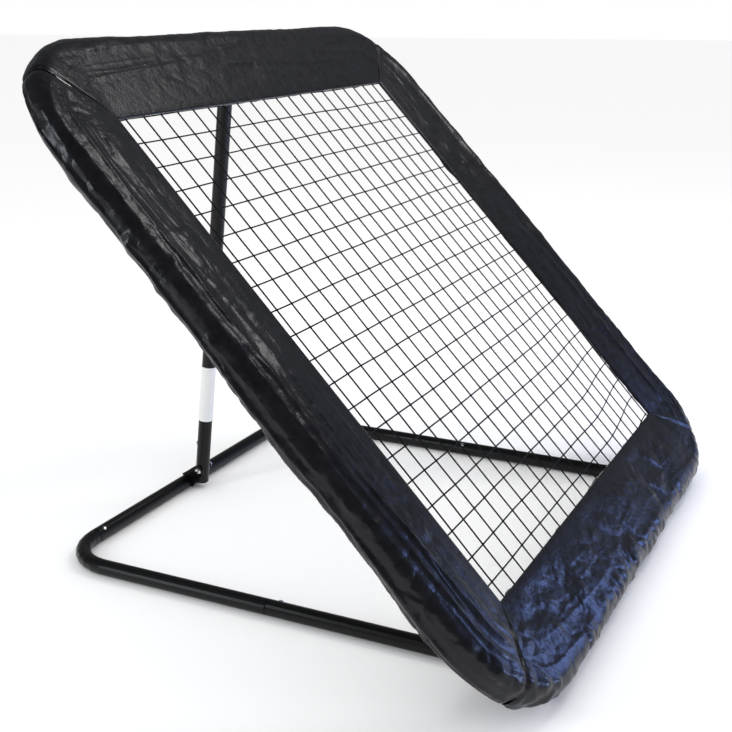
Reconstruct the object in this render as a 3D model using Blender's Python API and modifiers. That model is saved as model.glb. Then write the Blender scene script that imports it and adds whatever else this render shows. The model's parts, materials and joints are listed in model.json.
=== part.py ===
"""Pitch back rebounder: a square net in a padded tube frame, leaning on a folding U base and one rear leg.

Metres, +Z up. The ball comes from -Y. The rebounder stands on Z 0 with its middle on X 0, and Y 0 is halfway
between the front of the cover and the back of the base.
"""
import math

import bmesh
import bpy
from mathutils import Matrix, Vector

# Driving dimensions
OPENING = 0.92                    # side of the square opening in the cover
LEAN = math.radians(46.62)        # angle of the panel above the ground
OPENING_HEIGHT = 0.141            # bottom edge of the opening above the ground
TUBE_RADIUS = 0.014
TUBE_WALL = 0.0015
TUBE_SIDES = 20
FRAME_SIDES = 12                  # the frame's tubes are hidden in the cover
SPIGOT_RADIUS = 0.0118            # swaged tube end that slides into the next tube
SPIGOT_LENGTH = 0.045
SHOULDER = 0.004                  # straight stretch between a bend and its spigot
GAP = 0.0003                      # between pieces that touch
FRAME_OFFSET = 0.13               # opening edge to the axis of the frame tube
FRAME_BEND = 0.15                 # bend radius of the frame's corners
COVER_REACH = 0.158               # opening edge to the outside of the cover
COVER_BEND = 0.18                 # outside corner radius of the cover
COVER_BACK = -0.0378              # the cover's back edge, behind the net side of the frame
COVER_SHEET = 0.0012
NET_BACK = -0.006                 # the net lies this far behind the frame's middle plane
NET_THICKNESS = 0.0006
NET_REACH = 0.033                 # the net runs on this far under the cover
ROPE_REACH = 0.042
LACING_REACH = (0.0475, 0.1135)
LACING_TURNS = 7
ARM_X = 0.415                     # arms of the base, either side of the middle
ARM_BEND = 0.095
CROSSBAR_Y = 0.857                # behind the opening's bottom edge
ARM_SPLICE_Y = 0.42
PIVOT_Y = -0.060
LEG_HINGE = (1.0263, -0.029)      # along and behind the panel, from the opening's bottom edge
FOOT_BOLT = (0.8249, 0.0424)      # behind the opening's bottom edge, and above the ground
BOLT_RADIUS = 0.0039
HOLE_RADIUS = 0.0044
EAR_THICKNESS = 0.0025
EAR_INSIDE = 0.0147               # from the middle of the tube that an ear holds
BOSS_RADIUS = 0.0115
SLOT_WIDTH = 0.0092
SLOT_ANGLE = math.radians(48)     # the way the foot bolt leaves its ears as the base folds
BOLT_LENGTH = 0.0435
BOLT_HEAD = (0.007, 0.0045)       # radius and height
SCREW_HEAD = (0.0045, 0.0020)
SCREW_RADIUS = 0.0021
SCREW_RISE = math.radians(54)     # the splice screws face up and inwards at this angle
ARM_FRONT = -0.015                # front end of an arm from its hinge
LEG_ABOVE, LEG_BELOW = 0.013, 0.0275   # leg tube beyond its two bolts

# Worked out from them
X_AXIS, Y_AXIS, Z_AXIS = Vector((1, 0, 0)), Vector((0, 1, 0)), Vector((0, 0, 1))
HALF = OPENING / 2
FLAT = TUBE_RADIUS * math.cos(math.pi / TUBE_SIDES)   # middle of a tube to one of its flats
COVER_FRONT_POINT = (0.154, 0.010)
FRONT_Y = -COVER_FRONT_POINT[0] * math.cos(LEAN) - COVER_FRONT_POINT[1] * math.sin(LEAN)
MIDDLE_Y = (FRONT_Y + CROSSBAR_Y + FLAT) / 2
PANEL = Matrix.Translation((0, -MIDDLE_Y, OPENING_HEIGHT)) @ Matrix.Rotation(LEAN, 4, "X")
PIVOT = Vector((0, PIVOT_Y - MIDDLE_Y, FLAT))
LEG_TOP = PANEL @ Vector((0, *LEG_HINGE))
LEG_FOOT = Vector((0, FOOT_BOLT[0] - MIDDLE_Y, FOOT_BOLT[1]))
LEG_LENGTH = (LEG_TOP - LEG_FOOT).length

LOOKS = {                         # colour, metallic, roughness
    "powder": ((0.012, 0.012, 0.013), 0.0, 0.35),
    "cover": ((0.008, 0.009, 0.012), 0.0, 0.32),
    "foam": ((0.05, 0.05, 0.05), 0.0, 0.9),
    "net": ((0.006, 0.006, 0.006), 0.0, 0.6),
    "elastic": ((0.010, 0.010, 0.010), 0.0, 0.8),
    "chrome": ((0.75, 0.75, 0.76), 1.0, 0.15),
    "plug": ((0.010, 0.010, 0.010), 0.0, 0.5),
    "label": ((0.80, 0.80, 0.78), 0.0, 0.6),
}


def clear_scene():
    for thing in list(bpy.data.objects):
        bpy.data.objects.remove(thing, do_unlink=True)


def collection(name):
    made = bpy.data.collections.new(name)
    bpy.context.scene.collection.children.link(made)
    return made


def move_to(thing, target):
    for holder in list(thing.users_collection):
        holder.objects.unlink(thing)
    target.objects.link(thing)


def dress(thing, look):
    """Give a sub-part its own material, smooth sides and sharp edges."""
    colour, metallic, roughness = LOOKS[look]
    material = bpy.data.materials.new(thing.name)
    material.use_nodes = True
    shader = material.node_tree.nodes["Principled BSDF"]
    shader.inputs["Base Color"].default_value = (*colour, 1)
    shader.inputs["Metallic"].default_value = metallic
    shader.inputs["Roughness"].default_value = roughness
    thing.data.materials.clear()
    thing.data.materials.append(material)
    if thing.type == "MESH":
        thing.data.shade_smooth()
        thing.data.set_sharp_from_angle(angle=math.radians(35))


def finish(thing, name, look, parent, place):
    """Name a sub-part, hang it on its body's empty and put it in place in that body's own axes."""
    thing.name = name
    thing.data.name = name
    dress(thing, look)
    move_to(thing, PARTS)
    thing.parent = parent
    thing.matrix_parent_inverse = Matrix()
    thing.matrix_basis = place
    return thing


def body(name, place):
    empty = bpy.data.objects.new(name, None)
    empty.empty_display_size = 0.05
    PARTS.objects.link(empty)
    empty.matrix_world = place
    return empty


def axes(origin, x, y, z):
    """The matrix that puts a piece's own axes along three directions."""
    turn = Matrix((x, y, z)).transposed().to_4x4()
    return Matrix.Translation(origin) @ turn


def along_x(origin, sign=1):
    """A piece whose own +Z points along +X or -X."""
    return axes(Vector(origin), Vector((0, 0, -sign)), Y_AXIS, Vector((sign, 0, 0)))


def as_mesh(curve):
    """A curve turned into a mesh with its caps welded, so that it can be cut."""
    graph = bpy.context.evaluated_depsgraph_get()
    mesh = bpy.data.meshes.new_from_object(curve.evaluated_get(graph))
    shape = bmesh.new()
    shape.from_mesh(mesh)
    bmesh.ops.remove_doubles(shape, verts=shape.verts, dist=0.00002)
    shape.to_mesh(mesh)
    shape.free()
    made = bpy.data.objects.new(curve.name, mesh)
    made.matrix_world = curve.matrix_world
    bpy.context.scene.collection.objects.link(made)
    bpy.data.objects.remove(curve, do_unlink=True)
    return made


def curve_object(points, cyclic=False, flat=False):
    data = bpy.data.curves.new("path", "CURVE")
    data.dimensions = "2D" if flat else "3D"
    spline = data.splines.new("POLY")
    spline.points.add(len(points) - 1)
    for spot, point in zip(spline.points, points):
        spot.co = (*point, 1) if len(point) == 3 else (*point, 0, 1)
    spline.use_cyclic_u = cyclic or flat
    made = bpy.data.objects.new("path", data)
    bpy.context.scene.collection.objects.link(made)
    return made


def hollow(thing, wall):
    shell = thing.modifiers.new("wall", "SOLIDIFY")
    shell.thickness = wall
    shell.offset = -1
    shell.use_rim = True
    return thing


def straight_tube(length, radius=TUBE_RADIUS, wall=TUBE_WALL, sides=TUBE_SIDES):
    """An open tube up its own Z from 0, with a flat facing each way across it."""
    bpy.ops.mesh.primitive_cylinder_add(
        vertices=sides, radius=radius, depth=length, end_fill_type="NOTHING")
    made = bpy.context.object
    place = Matrix.Translation((0, 0, length / 2)) @ Matrix.Rotation(math.pi / sides, 4, "Z")
    made.data.transform(place)
    return hollow(made, wall)


def bent_tube(path, sides=TUBE_SIDES):
    """A tube along a flat path as a mesh, with a swaged spigot beyond each end of the path."""
    path = [Vector(spot) for spot in path]
    start_way = (path[0] - path[1]).normalized()
    end_way = (path[-1] - path[-2]).normalized()
    swage = 0.0015
    start = [path[0] + start_way * SPIGOT_LENGTH, path[0], path[0] - start_way * swage]
    end = [path[-1] - end_way * swage, path[-1], path[-1] + end_way * SPIGOT_LENGTH]
    points = start + path[1:-1] + end
    thin = SPIGOT_RADIUS / TUBE_RADIUS
    radii = [thin, thin] + [1.0] * (len(points) - 4) + [thin, thin]
    made = curve_object([tuple(spot) for spot in points])
    for spot, size in zip(made.data.splines[0].points, radii):
        spot.radius = size
    made.data.bevel_depth = TUBE_RADIUS
    made.data.bevel_resolution = sides // 2 - 2
    made.data.use_fill_caps = False
    hollow(made, TUBE_WALL)
    return as_mesh(made)


def cord(points, radius, cyclic=False):
    made = curve_object(points, cyclic)
    made.data.bevel_depth = radius
    made.data.bevel_resolution = 1
    made.data.use_fill_caps = not cyclic
    return made


def arc(middle, radius, start, end, steps):
    """Points on an arc in degrees, ends included."""
    found = []
    for step in range(steps + 1):
        angle = math.radians(start + (end - start) * step / steps)
        found.append((middle[0] + radius * math.cos(angle), middle[1] + radius * math.sin(angle)))
    return found


def plate(outline, thickness):
    """A flat outline as a closed plate, its own Z through the thickness."""
    made = curve_object(outline, flat=True)
    made.data.fill_mode = "BOTH"
    made.data.extrude = thickness / 2
    return as_mesh(made)


def turned(profile, sides):
    """A turned piece from a profile of (radius, height), listed from the top down its outer side."""
    mesh = bpy.data.meshes.new("turned")
    edges = [(spot, spot + 1) for spot in range(len(profile) - 1)]
    mesh.from_pydata([(radius, 0, height) for radius, height in profile], edges, [])
    made = bpy.data.objects.new("turned", mesh)
    bpy.context.scene.collection.objects.link(made)
    spin = made.modifiers.new("turn", "SCREW")
    spin.steps = sides
    spin.render_steps = sides
    spin.use_merge_vertices = True
    spin.merge_threshold = 0.00001
    return made


def cutter(radius, length, place, parent, sides=12):
    """A round cutter through a body's piece, its middle at the place and its length along the place's Z."""
    bpy.ops.mesh.primitive_cylinder_add(vertices=sides, radius=radius, depth=length)
    made = bpy.context.object
    made.name = "cutter"
    made.hide_render = True
    made.display_type = "WIRE"
    move_to(made, CUTTERS)
    made.parent = parent
    made.matrix_parent_inverse = Matrix()
    made.matrix_basis = place
    return made


def box_cutter(size, place, parent):
    bpy.ops.mesh.primitive_cube_add(size=1)
    made = bpy.context.object
    made.data.transform(Matrix.Diagonal((*size, 1)))
    made.name = "cutter"
    made.hide_render = True
    made.display_type = "WIRE"
    move_to(made, CUTTERS)
    made.parent = parent
    made.matrix_parent_inverse = Matrix()
    made.matrix_basis = place
    return made


def cut(thing, tool):
    hole = thing.modifiers.new("cut", "BOOLEAN")
    hole.operation = "DIFFERENCE"
    hole.solver = "EXACT"
    hole.object = tool


def bolt(name, head_radius, head_height, shank, length, parent, place, sides=12):
    """A domed bolt or screw, its head from 0 up its own Z and its shank below."""
    profile = [(0, head_height), (head_radius * 0.6, head_height * 0.86),
               (head_radius * 0.9, head_height * 0.5), (head_radius, 0), (shank, 0), (shank, -length), (0, -length)]
    return finish(turned(profile, sides), name, "chrome", parent, place)


def nut(name, parent, place):
    """A hexagon nut from 0 up its own Z."""
    bpy.ops.mesh.primitive_cylinder_add(vertices=6, radius=0.0078, depth=0.0065, location=(0, 0, 0.00325))
    made = bpy.context.object
    made.data.transform(Matrix.Translation((0, 0, 0.00325)))
    made.location = (0, 0, 0)
    finish(made, name, "chrome", parent, place)
    cut(made, cutter(HOLE_RADIUS, 0.03, place, parent))
    return made


def plug(name, parent, place, flange, inside):
    """A push-in tube plug, its cap from 0 up its own Z."""
    profile = [(0, flange), (0.009, flange), (0.0125, flange * 0.5), (0.0135, 0), (0.0118, 0),
               (0.0118, -inside), (0, -inside)]
    return finish(turned(profile, 16), name, "plug", parent, place)


def ear_outline(tube, pivot):
    """An ear's outline from the side of a tube to a round boss at the bolt."""
    tube, pivot = Vector(tube), Vector(pivot)
    way = (pivot - tube).normalized()
    side = Vector((-way.y, way.x))
    heading = math.degrees(math.atan2(way.y, way.x))
    root = tube + way * 0.004
    points = [tuple(root - side * 0.0175), *arc(pivot, BOSS_RADIUS, heading - 80, heading + 80, 12)]
    return points + [tuple(root + side * 0.0175)]


def ear(name, parent, x, tube, pivot):
    """One bracket ear: a plate across X, notched round its tube and drilled for its bolt."""
    place = axes(Vector((x, 0, 0)), Y_AXIS, Z_AXIS, X_AXIS)
    made = finish(plate(ear_outline(tube, pivot), EAR_THICKNESS), name, "powder", parent, place)
    cut(made, cutter(TUBE_RADIUS + GAP, 0.02, along_x((x, *tube)), parent, TUBE_SIDES))
    cut(made, cutter(HOLE_RADIUS, 0.02, along_x((x, *pivot)), parent))
    return made


# ---- The panel: frame, cover, foam, net and lacing, in axes across, up and out of the panel ----

def side_turn(quarter):
    """Turns the bottom side, which lies below the opening, to another side of the panel."""
    middle = Vector((0, HALF, 0))
    turn = Matrix.Rotation(quarter * math.pi / 2, 4, "Z")
    return Matrix.Translation(middle) @ turn @ Matrix.Translation(-middle)


def frame_tubes():
    run = HALF + FRAME_OFFSET - FRAME_BEND - SHOULDER
    for quarter, side in enumerate(SIDES):
        lying = axes(Vector((-run, -FRAME_OFFSET, 0)), Y_AXIS, Z_AXIS, X_AXIS)
        tube = straight_tube(2 * run, sides=FRAME_SIDES)
        finish(tube, "frame_tube_" + side, "powder", PANEL_BODY, side_turn(quarter) @ lying)
    for quarter, corner in enumerate(("bottom_right", "top_right", "top_left", "bottom_left")):
        middle = (run + SHOULDER, FRAME_BEND - FRAME_OFFSET)
        bend = [(x, y, 0) for x, y in arc(middle, FRAME_BEND, -90, 0, 6)]
        end = (HALF + FRAME_OFFSET, middle[1] + SHOULDER - GAP, 0)
        path = [(run + GAP, -FRAME_OFFSET, 0), *bend, end]
        made = bent_tube(path, FRAME_SIDES)
        finish(made, "frame_corner_" + corner, "powder", PANEL_BODY, side_turn(quarter))


def cover_profile():
    """The section of a cover length: distance out from the opening's edge, and height out of the panel."""
    wall, back, sheet = COVER_REACH, COVER_BACK, COVER_SHEET
    outside = [(GAP, 0.003), (0.100, 0.0135), (0.122, 0.0167), (0.140, 0.0167), COVER_FRONT_POINT,
               (wall, 0), (wall, back), (0.118, back)]
    inside = [(0.118, back + sheet), (wall - sheet, back + sheet), (wall - sheet, -0.0004), (0.1529, 0.0092),
              (0.1396, 0.0155), (0.1222, 0.0155), (0.1003, 0.0123), (GAP, 0.0018)]
    return outside + inside


def ring_point(reach, share):
    """A point on the bottom side of the ring that runs this far outside the opening, share from -1 to 1."""
    bend = COVER_BEND * reach / COVER_REACH
    half = HALF + reach - bend
    straight, turn = 0.78, abs(share)
    if turn <= straight:
        return (half * share / straight, -reach)
    angle = math.radians(45) * (turn - straight) / (1 - straight)
    x = half + bend * math.sin(angle)
    return (math.copysign(x, share), -reach + bend * (1 - math.cos(angle)))


def cover_length(name, quarter):
    """One sewn length of the cover from mitre to mitre, sharp inside and rounded outside."""
    bend_shares = [0.78 + 0.22 * step / 5 for step in range(6)]
    shares = [-share for share in reversed(bend_shares)] + bend_shares
    profile = cover_profile()
    shape = bmesh.new()
    rows = []
    for share in shares:
        row = []
        for reach, height in profile:
            x, y = ring_point(reach, share)
            row.append(shape.verts.new((x * (1 - GAP / HALF), y - GAP / 2, height)))
        rows.append(row)
    count = len(profile)
    for before, after in zip(rows, rows[1:]):
        for spot in range(count):
            following = (spot + 1) % count
            shape.faces.new((before[spot], before[following], after[following], after[spot]))
    shape.faces.new(rows[0][::-1])
    shape.faces.new(rows[-1])
    bmesh.ops.recalc_face_normals(shape, faces=shape.faces)
    mesh = bpy.data.meshes.new(name)
    shape.to_mesh(mesh)
    shape.free()
    made = bpy.data.objects.new(name, mesh)
    bpy.context.scene.collection.objects.link(made)
    return finish(made, name, "cover", PANEL_BODY, side_turn(quarter))


def foam_strip(name, quarter):
    """A foam strip that lies under the cover's face, cut square just short of the mitres."""
    start, end, thickness, clipped = 0.004, 0.104, 0.006, 0.055
    slope = (0.0135 - 0.003) / 0.100
    right = [(HALF + 0.010, -end), (HALF + clipped, -clipped - 0.002), (HALF + start, -start - 0.002)]
    outline = right + [(-x, y) for x, y in reversed(right)]
    made = plate(outline, thickness)
    made.data.transform(Matrix.Translation((0, 0, -thickness / 2)))
    for vertex in made.data.vertices:
        vertex.co.z += 0.0010 - slope * vertex.co.y
    return finish(made, name, "foam", PANEL_BODY, side_turn(quarter))


def net_and_lacing():
    bpy.ops.mesh.primitive_cube_add(size=1)
    net = bpy.context.object
    side = OPENING + 2 * NET_REACH
    net.data.transform(Matrix.Diagonal((side, side, NET_THICKNESS, 1)))
    finish(net, "rebound_net", "net", PANEL_BODY, Matrix.Translation((0, HALF, NET_BACK)))
    bend = 0.02
    run = HALF + ROPE_REACH - bend
    loop = []
    for quarter in range(4):
        turn = side_turn(quarter)
        for x, y in arc((run, bend - ROPE_REACH), bend, -90, 0, 3):
            loop.append(tuple(turn @ Vector((x, y, NET_BACK))))
    finish(cord(loop, 0.0025, cyclic=True), "net_border_rope", "net", PANEL_BODY, Matrix())
    for quarter, name in enumerate(SIDES):
        points = []
        for step in range(2 * LACING_TURNS + 1):
            x = -0.43 + 0.86 * step / (2 * LACING_TURNS)
            points.append((x, -LACING_REACH[step % 2], NET_BACK))
        made = cord(points, 0.0018)
        finish(made, "net_lacing_" + name, "elastic", PANEL_BODY, side_turn(quarter))


def panel_hinges():
    """The ears and bolts on the frame that hold the base's arms and the leg."""
    inverse = PANEL.inverted()
    pivot = inverse @ PIVOT
    bottom, top = (-FRAME_OFFSET, 0), (OPENING + FRAME_OFFSET, 0)
    reach = EAR_INSIDE + EAR_THICKNESS / 2
    face = EAR_INSIDE + EAR_THICKNESS + GAP
    for sign, side in ((-1, "left"), (1, "right")):
        middle = sign * ARM_X
        for way, name in ((1, "outer"), (-1, "inner")):
            x = middle + way * sign * reach
            ear("base_hinge_ear_" + side + "_" + name, PANEL_BODY, x, bottom, (pivot.y, pivot.z))
        head = along_x((middle + sign * face, pivot.y, pivot.z), sign)
        bolt("base_hinge_bolt_" + side, *BOLT_HEAD, BOLT_RADIUS, BOLT_LENGTH, PANEL_BODY, head)
        back = along_x((middle - sign * face, pivot.y, pivot.z), -sign)
        nut("base_hinge_nut_" + side, PANEL_BODY, back)
    for sign, side in ((-1, "left"), (1, "right")):
        ear("leg_hinge_ear_" + side, PANEL_BODY, sign * reach, top, LEG_HINGE)
    bolt("leg_hinge_bolt", *BOLT_HEAD, BOLT_RADIUS, BOLT_LENGTH, PANEL_BODY, along_x((-face, *LEG_HINGE), -1))
    nut("leg_hinge_nut", PANEL_BODY, along_x((face, *LEG_HINGE), 1))


def notch_cover(bottom, top):
    """Openings in the cover's back hem for the hinges of the base and the leg."""
    for sign in (-1, 1):
        place = Matrix.Translation((sign * ARM_X, -0.136, -0.041))
        cut(bottom, box_cutter((0.064, 0.0406, 0.03), place, PANEL_BODY))
    cut(top, box_cutter((0.09, 0.06, 0.03), Matrix.Translation((0, 1.03, -0.041)), PANEL_BODY))


# ---- The base, in the panel's rest axes from the hinge ----

def splice_screw(name, thing, inner, parent, spot, way):
    """A small domed screw through the outer tube and the spigot inside it."""
    side = way.cross(X_AXIS)
    if side.length < 0.1:
        side = way.cross(Y_AXIS)
    side.normalize()
    place = axes(spot + way * (FLAT + GAP), side, way.cross(side), way)
    bolt(name, *SCREW_HEAD, SCREW_RADIUS, 0.0060, parent, place, 10)
    tool = cutter(0.0025, 0.0100, axes(spot + way * FLAT, side, way.cross(side), way), parent, 10)
    for holed in (thing, inner):
        if holed:
            cut(holed, tool)


def base():
    depth = CROSSBAR_Y - PIVOT_Y
    across = ARM_X - ARM_BEND - SHOULDER
    lying = axes(Vector((-across, depth, 0)), Y_AXIS, Z_AXIS, X_AXIS)
    crossbar = finish(straight_tube(2 * across), "base_crossbar", "powder", BASE_BODY, lying)
    splice = ARM_SPLICE_Y - PIVOT_Y
    for sign, side in ((-1, "left"), (1, "right")):
        bend = arc((across + SHOULDER, depth - ARM_BEND), ARM_BEND, 90, 0, 8)
        path = [(across + GAP, depth), *bend, (ARM_X, splice + GAP)]
        path = [(sign * x, y, 0) for x, y in path]
        corner = finish(bent_tube(path), "base_corner_" + side, "powder", BASE_BODY, Matrix())
        length = splice - ARM_FRONT
        place = axes(Vector((sign * ARM_X, ARM_FRONT, 0)), Z_AXIS, X_AXIS, Y_AXIS)
        arm = finish(straight_tube(length), "base_arm_" + side, "powder", BASE_BODY, place)
        cut(arm, cutter(HOLE_RADIUS, 0.05, along_x((sign * ARM_X, 0, 0)), BASE_BODY))
        cap = axes(Vector((sign * ARM_X, ARM_FRONT - GAP, 0)), X_AXIS, Z_AXIS, Vector((0, -1, 0)))
        plug("base_arm_plug_" + side, BASE_BODY, cap, 0.002, 0.0075)
        spot = Vector((sign * (across - 0.017), depth, 0))
        way = Vector((0, -math.cos(SCREW_RISE), math.sin(SCREW_RISE)))
        splice_screw("crossbar_screw_" + side, crossbar, corner, BASE_BODY, spot, way)
        spot = Vector((sign * ARM_X, splice - 0.020, 0))
        way = Vector((-sign * math.cos(SCREW_RISE), 0, math.sin(SCREW_RISE)))
        splice_screw("arm_screw_" + side, arm, corner, BASE_BODY, spot, way)
    foot_ears()


def foot_ears():
    """The two plates on the crossbar, slotted so that the leg's bolt can leave as the base folds."""
    tube = (CROSSBAR_Y - PIVOT_Y, 0)
    foot = LEG_FOOT - PIVOT
    length = 0.03
    middle = Vector((0, foot.y - math.cos(SLOT_ANGLE) * length / 2, foot.z - math.sin(SLOT_ANGLE) * length / 2))
    for sign, side in ((-1, "left"), (1, "right")):
        x = sign * (EAR_INSIDE + EAR_THICKNESS / 2)
        made = ear("foot_ear_" + side, BASE_BODY, x, tube, (foot.y, foot.z))
        place = Matrix.Translation((x, middle.y, middle.z)) @ Matrix.Rotation(SLOT_ANGLE, 4, "X")
        cut(made, box_cutter((0.02, length, SLOT_WIDTH), place, BASE_BODY))


# ---- The leg, down its own -Z from its hinge ----

def leg():
    tube = straight_tube(LEG_LENGTH + LEG_ABOVE + LEG_BELOW)
    finish(tube, "leg_tube", "powder", LEG_BODY, Matrix.Translation((0, 0, -LEG_LENGTH - LEG_BELOW)))
    for height in (0, -LEG_LENGTH):
        cut(tube, cutter(HOLE_RADIUS, 0.05, along_x((0, 0, height)), LEG_BODY))
    plug("leg_top_plug", LEG_BODY, Matrix.Translation((0, 0, LEG_ABOVE + GAP)), 0.0015, 0.007)
    down = Matrix.Translation((0, 0, -LEG_LENGTH - LEG_BELOW - GAP)) @ Matrix.Rotation(math.pi, 4, "X")
    plug("leg_foot_plug", LEG_BODY, down, 0.003, 0.012)
    face = EAR_INSIDE + EAR_THICKNESS + GAP
    bolt("foot_bolt", *BOLT_HEAD, BOLT_RADIUS, 0.047, LEG_BODY, along_x((-face, 0, -LEG_LENGTH), -1))
    nut("foot_nut", LEG_BODY, along_x((face, 0, -LEG_LENGTH), 1))
    finish(straight_tube(0.118, 0.0147, 0.0003), "leg_label", "label", LEG_BODY,
           Matrix.Translation((0, 0, -LEG_LENGTH + 0.112)))
    angle = math.radians(126)
    way = Vector((math.cos(angle), math.sin(angle), 0))
    splice_screw("leg_screw", tube, None, LEG_BODY, Vector((0, 0, -LEG_LENGTH + 0.058)), way)


SIDES = ("bottom", "right", "top", "left")
clear_scene()
PARTS = collection("pitch_back_rebounder")
CUTTERS = collection("cutters")
PANEL_BODY = body("panel_body", PANEL)
BASE_BODY = body("base_body", Matrix.Translation(PIVOT))
LEG_UP = (LEG_TOP - LEG_FOOT).normalized()
LEG_BODY = body("leg_body", axes(LEG_TOP, X_AXIS, LEG_UP.cross(X_AXIS), LEG_UP))

frame_tubes()
lengths = {side: cover_length("cover_" + side, quarter) for quarter, side in enumerate(SIDES)}
for number, edge in enumerate(SIDES):
    foam_strip("foam_" + edge, number)
net_and_lacing()
panel_hinges()
notch_cover(lengths["bottom"], lengths["top"])
base()
leg()
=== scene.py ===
import json
import math

import bmesh
import bpy
from mathutils import Matrix, Vector, noise


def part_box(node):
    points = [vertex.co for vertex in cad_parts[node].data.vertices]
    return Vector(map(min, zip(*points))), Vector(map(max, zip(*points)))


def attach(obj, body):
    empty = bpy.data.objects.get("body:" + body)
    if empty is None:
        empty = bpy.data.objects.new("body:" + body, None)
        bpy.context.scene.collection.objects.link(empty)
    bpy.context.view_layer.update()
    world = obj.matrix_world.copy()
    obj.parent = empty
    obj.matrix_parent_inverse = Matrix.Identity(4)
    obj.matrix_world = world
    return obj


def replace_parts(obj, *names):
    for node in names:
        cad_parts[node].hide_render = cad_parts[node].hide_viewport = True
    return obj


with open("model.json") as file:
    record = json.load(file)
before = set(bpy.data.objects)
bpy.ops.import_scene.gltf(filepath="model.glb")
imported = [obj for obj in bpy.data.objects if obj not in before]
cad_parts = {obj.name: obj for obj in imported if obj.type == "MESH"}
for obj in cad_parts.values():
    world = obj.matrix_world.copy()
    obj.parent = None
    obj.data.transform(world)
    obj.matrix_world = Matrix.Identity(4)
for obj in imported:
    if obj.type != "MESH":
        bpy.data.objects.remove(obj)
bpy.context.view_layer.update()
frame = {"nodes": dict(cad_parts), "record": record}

# Driving dimensions, repeated from the frame's design
OPENING = 0.92
HALF = OPENING / 2
LEAN = math.radians(46.62)
OPENING_HEIGHT = 0.141
COVER_REACH = 0.158
COVER_BEND = 0.18
CROSSBAR_BEHIND = 0.857           # crossbar's axis behind the opening's bottom edge
ARM_X = 0.415
NET_BACK = -0.006

# The cover. Its section runs from the inner hem over the face and the tube to the back hem, as
# distance out from the opening and height over the panel's plane.
SECTION = [(0.012, -0.0024), (0.002, -0.0020), (0.000, 0.0008), (0.004, 0.0038), (0.045, 0.0090),
           (0.080, 0.0128), (0.102, 0.0148), (0.116, 0.0163), (0.130, 0.0180), (0.143, 0.0163),
           (0.1535, 0.0085), (0.1578, -0.003), (0.1580, -0.016), (0.1572, -0.028), (0.154, -0.0358),
           (0.146, -0.0374), (0.132, -0.0368), (0.120, -0.0362)]
STRAIGHT_SHARE = 0.78             # how much of half a side comes before its rounded corner
TUCKED = 0.1565                   # how far out the back hem lies where it is cut away
OUTWARD = 0.0085                  # the most that a fold stands out from the section
INWARD = 0.0027                   # the most that it sinks in, to stay off the foam and the tubes
LOWEST = 0.0004                   # the cover stays this far off the ground

# The net: where its first crossing lies, and its mesh
NET_START = (-0.4298, 0.8756)
NET_PITCH = (0.04582, 0.04712)
FIRST_STRAND, LAST_STRAND = -1, 20
STRAND_RADIUS = 0.0013
KNOT_RADIUS = 0.0024

crossbar_low, crossbar_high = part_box("base_crossbar")
MIDDLE_Y = CROSSBAR_BEHIND - (crossbar_low[1] + crossbar_high[1]) / 2
PANEL = Matrix.Translation((0, -MIDDLE_Y, OPENING_HEIGHT)) @ Matrix.Rotation(LEAN, 4, "X")
SIDES = ("bottom", "right", "top", "left")


# ---- Camera and light ----

def camera():
    """The camera stands at the left front, a little above the panel's middle."""
    data = bpy.data.cameras.new("camera")
    data.lens = 58.61
    data.sensor_width = 36
    made = bpy.data.objects.new("camera", data)
    bpy.context.scene.collection.objects.link(made)
    azimuth, elevation, roll = math.radians(-63.81), math.radians(16.99), math.radians(-0.32)
    turn = Matrix.Rotation(azimuth, 4, "Z") @ Matrix.Rotation(math.pi / 2 - elevation, 4, "X")
    turn = turn @ Matrix.Rotation(roll, 4, "Z")
    place = (-1.944, -0.5157 - MIDDLE_Y, 0.979)
    made.matrix_world = Matrix.Translation(place) @ turn
    bpy.context.scene.camera = made


def area_light(name, place, aim, size, power, colour):
    data = bpy.data.lights.new(name, "AREA")
    data.shape = "RECTANGLE"
    data.size, data.size_y = size
    data.energy = power
    data.color = colour
    made = bpy.data.objects.new(name, data)
    bpy.context.scene.collection.objects.link(made)
    made.location = place
    made.rotation_euler = (Vector(aim) - Vector(place)).to_track_quat("-Z", "Y").to_euler()


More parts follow.
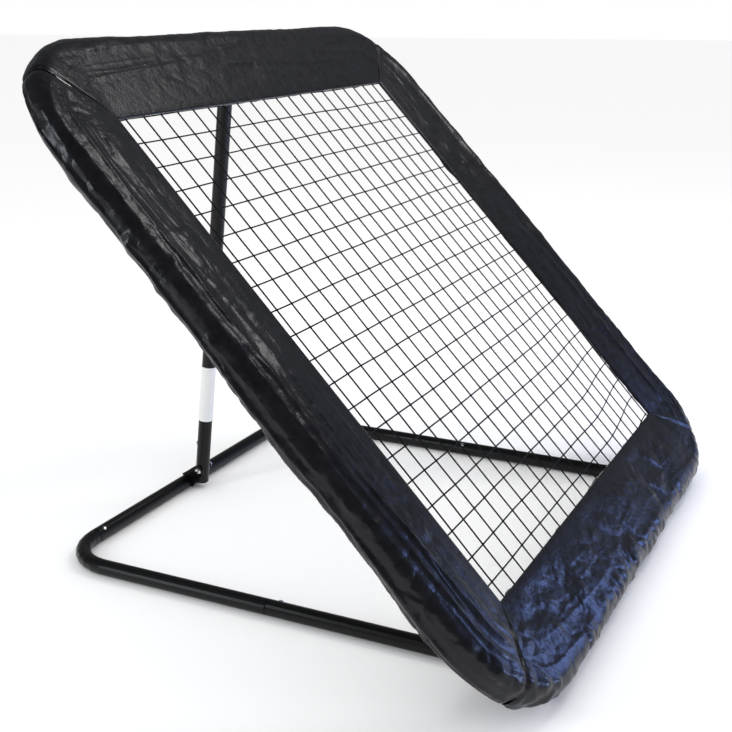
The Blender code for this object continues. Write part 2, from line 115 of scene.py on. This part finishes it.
def studio():
    """A bright backdrop, dimmer light from all round, and a few soft lights that the cover's folds catch."""
    world = bpy.data.worlds.new("studio")
    world.use_nodes = True
    tree = world.node_tree
    backdrop = tree.nodes["Background"]
    backdrop.inputs["Color"].default_value = (1.0, 1.0, 1.0, 1)
    backdrop.inputs["Strength"].default_value = 1.0
    mirrored = tree.nodes.new("ShaderNodeBackground")
    mirrored.inputs["Color"].default_value = (0.93, 0.96, 1.0, 1)
    mirrored.inputs["Strength"].default_value = 0.20
    seen = tree.nodes.new("ShaderNodeLightPath")
    both = tree.nodes.new("ShaderNodeMixShader")
    tree.links.new(seen.outputs["Is Glossy Ray"], both.inputs["Fac"])
    tree.links.new(backdrop.outputs["Background"], both.inputs[1])
    tree.links.new(mirrored.outputs["Background"], both.inputs[2])
    tree.links.new(both.outputs["Shader"], tree.nodes["World Output"].inputs["Surface"])
    bpy.context.scene.world = world
    bpy.context.scene.view_settings.view_transform = "Standard"
    area_light("key", (1.9, -1.2, 3.2), (0, 0.1, 0.6), (0.9, 0.9), 26, (1.0, 1.0, 1.0))
    area_light("low_blue", (2.3, -2.2, 0.8), (-0.1, -0.35, 0.15), (0.7, 0.6), 17, (0.26, 0.40, 1.0))
    area_light("left_blue", (0.9, -2.9, 0.4), (-0.5, -0.2, 0.3), (0.5, 0.4), 26, (0.35, 0.50, 1.0))
    area_light("side", (-2.4, 1.6, 1.2), (-0.6, 0.1, 0.5), (0.3, 0.8), 16, (0.85, 0.92, 1.0))
    bpy.ops.mesh.primitive_plane_add(size=60)
    floor = bpy.context.object
    floor.name = "floor"
    floor.data.materials.append(plain("floor", (0.97, 0.97, 0.97), 0.9, specular=0.1))


# ---- Materials ----

def plain(name, colour, roughness, metallic=0.0, specular=0.5):
    """A material that is the same all over."""
    made = bpy.data.materials.new(name)
    made.use_nodes = True
    shader = made.node_tree.nodes["Principled BSDF"]
    shader.inputs["Base Color"].default_value = (*colour, 1)
    shader.inputs["Roughness"].default_value = roughness
    shader.inputs["Metallic"].default_value = metallic
    shader.inputs["Specular IOR Level"].default_value = specular
    return made


def add(tree, kind, **values):
    """A new shader node with these values on its inputs."""
    node = tree.nodes.new(kind)
    for key, value in values.items():
        node.inputs[key].default_value = value
    return node


def grain(material, scale, low, high, rough, height):
    """Colour, roughness and bump from one noise in object space."""
    tree = material.node_tree
    shader = tree.nodes["Principled BSDF"]
    place = add(tree, "ShaderNodeTexCoord")
    field = add(tree, "ShaderNodeTexNoise", Scale=scale, Detail=4.0, Roughness=0.6)
    tree.links.new(place.outputs["Object"], field.inputs["Vector"])
    tint = add(tree, "ShaderNodeValToRGB")
    tint.color_ramp.elements[0].color = (*low, 1)
    tint.color_ramp.elements[1].color = (*high, 1)
    tint.color_ramp.elements[0].position = 0.35
    tint.color_ramp.elements[1].position = 0.65
    tree.links.new(field.outputs["Fac"], tint.inputs["Fac"])
    tree.links.new(tint.outputs["Color"], shader.inputs["Base Color"])
    gloss = add(tree, "ShaderNodeMapRange")
    gloss.inputs["To Min"].default_value = rough[0]
    gloss.inputs["To Max"].default_value = rough[1]
    tree.links.new(field.outputs["Fac"], gloss.inputs["Value"])
    tree.links.new(gloss.outputs["Result"], shader.inputs["Roughness"])
    bump = add(tree, "ShaderNodeBump", Strength=1.0, Distance=height)
    tree.links.new(field.outputs["Fac"], bump.inputs["Height"])
    tree.links.new(bump.outputs["Normal"], shader.inputs["Normal"])
    return material


def cover_sheet():
    """Black coated sheet: faint weave under the coating, small crinkles and patches of shine."""
    made = plain("cover_sheet", (0.004, 0.004, 0.006), 0.3, specular=0.22)
    grain(made, 55.0, (0.0025, 0.0025, 0.0035), (0.006, 0.006, 0.009), (0.20, 0.42), 0.0012)
    tree = made.node_tree
    shader = tree.nodes["Principled BSDF"]
    coarse = tree.nodes["Bump"]
    place = tree.nodes["Texture Coordinate"]
    weave = add(tree, "ShaderNodeTexVoronoi", Scale=420.0)
    tree.links.new(place.outputs["Object"], weave.inputs["Vector"])
    fine = add(tree, "ShaderNodeBump", Strength=0.35, Distance=0.0003)
    tree.links.new(weave.outputs["Distance"], fine.inputs["Height"])
    tree.links.new(coarse.outputs["Normal"], fine.inputs["Normal"])
    tree.links.new(fine.outputs["Normal"], shader.inputs["Normal"])
    shader.inputs["Coat Weight"].default_value = 0.10
    shader.inputs["Coat Roughness"].default_value = 0.22
    return made


def label_film():
    """White film with plain grey bars, which stand in for the printing."""
    made = plain("label_film", (0.80, 0.80, 0.78), 0.45)
    tree = made.node_tree
    shader = tree.nodes["Principled BSDF"]
    place = add(tree, "ShaderNodeTexCoord")
    wave = add(tree, "ShaderNodeTexWave", Scale=84.0, Distortion=0.0)
    wave.bands_direction = "Z"
    edge = add(tree, "ShaderNodeValToRGB")
    edge.color_ramp.elements[0].color = (0.60, 0.60, 0.60, 1)
    edge.color_ramp.elements[1].color = (0.84, 0.84, 0.82, 1)
    edge.color_ramp.elements[0].position = 0.15
    edge.color_ramp.elements[1].position = 0.24
    tree.links.new(place.outputs["Object"], wave.inputs["Vector"])
    tree.links.new(wave.outputs["Fac"], edge.inputs["Fac"])
    tree.links.new(edge.outputs["Color"], shader.inputs["Base Color"])
    return made


def dress_nodes():
    """A material for each node of the model, by what it is made of."""
    powder = grain(plain("powder_coat", (0.004, 0.004, 0.004), 0.3, specular=0.25), 900.0,
                   (0.0015, 0.0015, 0.0016), (0.004, 0.004, 0.0042), (0.22, 0.36), 0.00015)
    chrome = grain(plain("bright_plate", (0.7, 0.7, 0.72), 0.15, metallic=1.0), 300.0,
                   (0.62, 0.62, 0.64), (0.78, 0.78, 0.80), (0.12, 0.28), 0.00005)
    looks = {
        "tube": powder,
        "hardware": chrome,
        "plug": grain(plain("moulded", (0.01, 0.01, 0.01), 0.5), 700.0,
                      (0.008, 0.008, 0.008), (0.014, 0.014, 0.014), (0.42, 0.6), 0.0002),
        "foam": grain(plain("foam", (0.05, 0.05, 0.05), 0.9), 600.0,
                      (0.03, 0.03, 0.03), (0.07, 0.07, 0.07), (0.85, 0.98), 0.0008),
        "net": cord_look("net_cord", 0.002),
        "elastic": cord_look("elastic_cord", 0.010),
        "label": label_film(),
        "cover": cover_sheet(),
    }
    slots = {entry["node"]: entry["material_slot"] for entry in frame["record"]["subparts"]}
    for name, thing in frame["nodes"].items():
        look = looks[slots[name]]
        for slot in thing.material_slots:
            slot.material = look
        if not thing.material_slots:
            thing.data.materials.append(look)
    return looks


def cord_look(name, tone):
    """Twisted black cord."""
    made = plain(name, (tone, tone, tone), 0.6, specular=0.12)
    return grain(made, 1400.0, (tone * 0.7,) * 3, (tone * 1.5,) * 3, (0.5, 0.7), 0.0003)


# ---- The cover ----

def ring_point(reach, share):
    """A point on the bottom side of the ring that runs this far outside the opening, share from -1 to 1."""
    bend = max(COVER_BEND * reach / COVER_REACH, 0.0)
    half = HALF + reach - bend
    turn = abs(share)
    if turn <= STRAIGHT_SHARE:
        return half * share / STRAIGHT_SHARE, -reach
    angle = math.radians(45) * (turn - STRAIGHT_SHARE) / (1 - STRAIGHT_SHARE)
    return math.copysign(half + bend * math.sin(angle), share), -reach + bend * (1 - math.cos(angle))


def side_turn(quarter):
    """Turns the bottom side into another one, a quarter at a time about the opening's middle."""
    middle = Vector((0, HALF, 0))
    turn = Matrix.Rotation(quarter * math.pi / 2, 4, "Z")
    return Matrix.Translation(middle) @ turn @ Matrix.Translation(-middle)


def section(count):
    """The cover's section as this many evenly spaced points on a smooth curve."""
    final = len(SECTION) - 1
    dense = []
    for number in range(final):
        four = [Vector(SECTION[max(0, min(final, number + step))]) for step in (-1, 0, 1, 2)]
        for part in range(12):
            dense.append(catmull_rom(four, part / 12))
    dense.append(Vector(SECTION[-1]))
    lengths = [0.0]
    for before, after in zip(dense, dense[1:]):
        lengths.append(lengths[-1] + (after - before).length)
    found, spot = [], 0
    for step in range(count):
        want = lengths[-1] * step / (count - 1)
        while spot < len(dense) - 2 and lengths[spot + 1] < want:
            spot += 1
        share = (want - lengths[spot]) / (lengths[spot + 1] - lengths[spot])
        found.append(tuple(dense[spot].lerp(dense[spot + 1], min(1.0, share))))
    return found


def catmull_rom(four, share):
    """A point on the smooth curve between the second and third of four points."""
    before, start, end, after = four
    bent = (2 * before - 5 * start + 4 * end - after) * share ** 2
    bent += (3 * start - before - 3 * end + after) * share ** 3
    return (2 * start + (end - before) * share + bent) / 2


def crumple(spot, size):
    """Facets with sharp creases between them, from -0.5 to 0.5 or so."""
    bent = spot / size + noise.noise_vector(spot / size * 0.6) * 0.30
    near = noise.voronoi(bent)[0]
    return (near[1] - near[0]) - 0.35


def ridge(value):
    """Turns smooth noise into narrow folds."""
    return (1 - min(1.0, abs(value) * 2.6)) ** 2


def smooth(value, low, high):
    """0 below low, 1 above high, and a smooth step between them."""
    share = min(1.0, max(0.0, (value - low) / (high - low)))
    return share * share * (3 - 2 * share)


# Each side from its own -X end to its +X end: how crumpled, how folded lengthwise, how deep its wall is
LOOSE = {"bottom": ((1.6, 0.20, 1.0), (0.75, 0.12, 1.0)), "right": ((0.8, 1.0, 0.9), (0.3, 0.4, 0.7)),
         "top": ((0.22, 0.30, 0.8), (0.30, 0.35, 0.70)), "left": ((0.60, 0.7, 0.62), (0.95, 1.7, 1.0))}


def lift_of(name, world, x, reach, height, looseness):
    """How far a point of the cover stands out from its smooth section."""
    facets, folds, fade = looseness
    quarter = SIDES.index(name)
    strength = smooth(reach, 0.010, 0.055) if height > -0.001 else 1.0
    folds *= 0.25 + 0.75 * smooth(reach, 0.040, 0.095)
    wall = smooth(-height, -0.012, 0.008)
    ridge_line = 1 - min(1.0, abs(reach - 0.148) / 0.03) if height > -0.01 else 0.0
    patch = smooth(noise.noise(world * 6.5 + Vector((4, 9, 1))), -0.25, 0.35)
    lift = 0.0085 * facets * patch * crumple(world, 0.070)
    lift += 0.0034 * facets * (0.35 + ridge_line + wall) * crumple(world + Vector((3, 1, 2)), 0.034)
    lift += 0.0010 * facets * (0.3 + patch) * crumple(world + Vector((7, 5, 2)), 0.016)
    lift += 0.0025 * noise.noise(world * 7) * (0.4 + 0.6 * facets)
    along = Vector((x * 2.2, reach * 22.0 + height * 22.0 + 0.4 * noise.noise(world * 3), 7.0 + quarter))
    lift += 0.0040 * folds * (ridge(noise.noise(along)) - 0.3) * fade
    lift += 0.0014 * folds * (ridge(noise.noise(along * 2.3)) - 0.3) * fade
    sag = noise.noise(Vector((x * 7.0, height * 6.0, 3.0 + quarter)))
    lift += 0.0065 * wall * sag + 0.0022 * wall * noise.noise(Vector((x * 30.0, height * 20.0, 5.0)))
    lift = (lift + 0.0008) * strength
    most = OUTWARD if lift > 0 else INWARD
    return most * math.tanh(lift / most)


def opening_at(name, x):
    """1 where the back hem is cut away for a hinge of the base or the leg, and 0 elsewhere."""
    if name == "bottom":
        return 1 - smooth(abs(abs(x) - ARM_X), 0.034, 0.046)
    return 1 - smooth(abs(x), 0.044, 0.058) if name == "top" else 0.0


def cover_side(name, quarter, look):
    """One length of the cover, from mitre to mitre, with its folds and crumples."""
    along, around = ((440, 130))
    near, far = LOOSE[name]
    turn = PANEL @ side_turn(quarter)
    profile = section(around)
    shape = bmesh.new()
    rows = []
    for step in range(along + 1):
        share = -1 + 2 * step / along
        mix = (share + 1) / 2
        facets, folds, depth = (start + (end - start) * mix for start, end in zip(near, far))
        looseness = (facets, folds, 1 - smooth(abs(share), 0.9, 1.0))
        depth += 0.10 * noise.noise(Vector((share * 5, quarter, 2))) * looseness[2]
        row = []
        for number, (reach, height) in enumerate(profile):
            if number > around * 0.8 and reach < TUCKED:
                cut_away = opening_at(name, ring_point(reach, share)[0])
                reach += (TUCKED - reach) * cut_away
            x, y = ring_point(reach, share)
            spot = Vector((x, y, height if height > -0.002 else -0.002 + (height + 0.002) * min(1.0, depth)))
            world = side_turn(quarter) @ spot
            before, after = profile[max(0, number - 1)], profile[min(around - 1, number + 1)]
            size = math.dist(before, after) or 1.0
            normal_out, normal_up = (before[1] - after[1]) / size, (after[0] - before[0]) / size
            lift = lift_of(name, world, x, reach, height, looseness)
            lift -= 0.0022 * math.exp(-((1 - abs(share)) / 0.010) ** 2) * smooth(reach, 0.0, 0.02)
            outward = spot.xy - Vector((max(-HALF, min(HALF, x)), 0))
            outward = outward.normalized() if outward.length > 1e-5 else Vector((0, -1))
            aside = normal_out * lift
            moved = spot + Vector((outward.x * aside, outward.y * aside, normal_up * lift))
            row.append(shape.verts.new(turn @ moved))
        rows.append(row)
    for before, after in zip(rows, rows[1:]):
        for spot in range(around - 1):
            shape.faces.new((before[spot], before[spot + 1], after[spot + 1], after[spot]))
    for vertex in shape.verts:
        vertex.co.z = max(vertex.co.z, LOWEST)
    mesh = bpy.data.meshes.new("cover_" + name)
    shape.to_mesh(mesh)
    shape.free()
    mesh.shade_smooth()
    mesh.materials.append(look)
    made = bpy.data.objects.new("cover_sheet_" + name, mesh)
    bpy.context.scene.collection.objects.link(made)
    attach(made, "panel")
    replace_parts(made, "cover_" + name)


def stitches(look):
    """Three rows of stitches along each mitre seam and one along each inner hem."""
    for quarter, name in enumerate(("bottom_right", "top_right", "top_left", "bottom_left")):
        shape = bmesh.new()
        turn = side_turn(quarter)
        for step in range(18):
            reach = 0.006 + 0.0082 * step
            for share in (0.985, 1.0, 1.015):
                mirrored = share > 1
                x, y = ring_point(reach, 2 - share if mirrored else share)
                later_x, later_y = ring_point(reach + 0.0045, 2 - share if mirrored else share)
                ends = [Vector((x, y, 0)), Vector((later_x, later_y, 0))]
                if mirrored:
                    ends = [Vector((HALF - spot.y, HALF - spot.x, 0)) for spot in ends]
                ends = [spot + Vector((0, 0, seat_height(reach) - 0.0010)) for spot in ends]
                tube_along(shape, [turn @ spot for spot in ends], 0.00045, 5)
        add_piece(shape, "seam_stitches_" + name, look)
    shape = bmesh.new()
    for quarter in range(4):
        turn = side_turn(quarter)
        for step in range(150):
            x = -0.452 + 0.904 * step / 150
            ends = [Vector((x, -0.0065, 0.0042)), Vector((x + 0.0038, -0.0065, 0.0042))]
            tube_along(shape, [turn @ spot for spot in ends], 0.0004, 5)
    add_piece(shape, "hem_stitches", look)


def seat_height(reach):
    """The height of the cover's smooth face at this distance out."""
    spots = [spot for spot in section(160) if spot[1] > 0.001]
    return min(spots, key=lambda spot: abs(spot[0] - reach))[1]


def add_piece(shape, name, look):
    """Put a piece that was modelled on the panel into the scene, riding on the panel."""
    mesh = bpy.data.meshes.new(name)
    shape.transform(PANEL)
    shape.to_mesh(mesh)
    shape.free()
    mesh.shade_smooth()
    mesh.materials.append(look)
    made = bpy.data.objects.new(name, mesh)
    bpy.context.scene.collection.objects.link(made)
    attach(made, "panel")
    return made


# ---- The net ----

def tube_along(shape, points, radius, sides=6):
    """A round strand through the points, added to a mesh."""
    rings = []
    for number, point in enumerate(points):
        way = (points[min(number + 1, len(points) - 1)] - points[max(number - 1, 0)]).normalized()
        across = way.cross(Vector((0, 0, 1))).normalized()
        other = across.cross(way)
        ring = []
        for side in range(sides):
            angle = 2 * math.pi * side / sides
            spoke = across * math.cos(angle) + other * math.sin(angle)
            ring.append(shape.verts.new(point + spoke * radius))
        rings.append(ring)
    for before, after in zip(rings, rings[1:]):
        for side in range(sides):
            following = (side + 1) % sides
            shape.faces.new((before[side], before[following], after[following], after[side]))
    shape.faces.new(rings[0][::-1])
    shape.faces.new(rings[-1])


def net_spot(column, row):
    """Where a knot of the net lies: an even mesh, a little wavy, drawn up and back in the low far corner."""
    x = NET_START[0] + NET_PITCH[0] * column
    y = NET_START[1] - NET_PITCH[1] * row
    corner = smooth(x, 0.22, 0.50) * smooth(-y, -0.45, 0.0)
    sway = noise.noise_vector(Vector((column * 0.35, row * 0.35, 1.5))) * 0.0016
    return Vector((x - 0.010 * corner + sway.x, y + 0.022 * corner + sway.y, NET_BACK - 0.006 * corner))


def net(look):
    """The knotted net: strands both ways, and a knot at every crossing."""
    shape = bmesh.new()
    strands = range(FIRST_STRAND, LAST_STRAND + 1)
    for line in strands:
        for across in (True, False):
            points = []
            for step in range(3 * (LAST_STRAND - FIRST_STRAND) + 1):
                at = FIRST_STRAND + step / 3
                spot = net_spot(at, line) if across else net_spot(line, at)
                points.append(spot + Vector((0, 0, 0.0006 if across else -0.0006)))
            tube_along(shape, points, STRAND_RADIUS)
    for column in strands:
        for row in strands:
            place = Matrix.Translation(net_spot(column, row)) @ Matrix.Diagonal((1.0, 1.0, 0.7, 1))
            bmesh.ops.create_icosphere(shape, subdivisions=1, radius=KNOT_RADIUS, matrix=place)
    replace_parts(add_piece(shape, "net_strands", look), "rebound_net")


noise.seed_set(1)                 # noise_vector takes its offsets from the seed, and from the clock without one
camera()
studio()
looks = dress_nodes()
for number, edge in enumerate(SIDES):
    cover_side(edge, number, looks["cover"])
stitches(cord_look("thread", 0.02))
net(looks["net"])
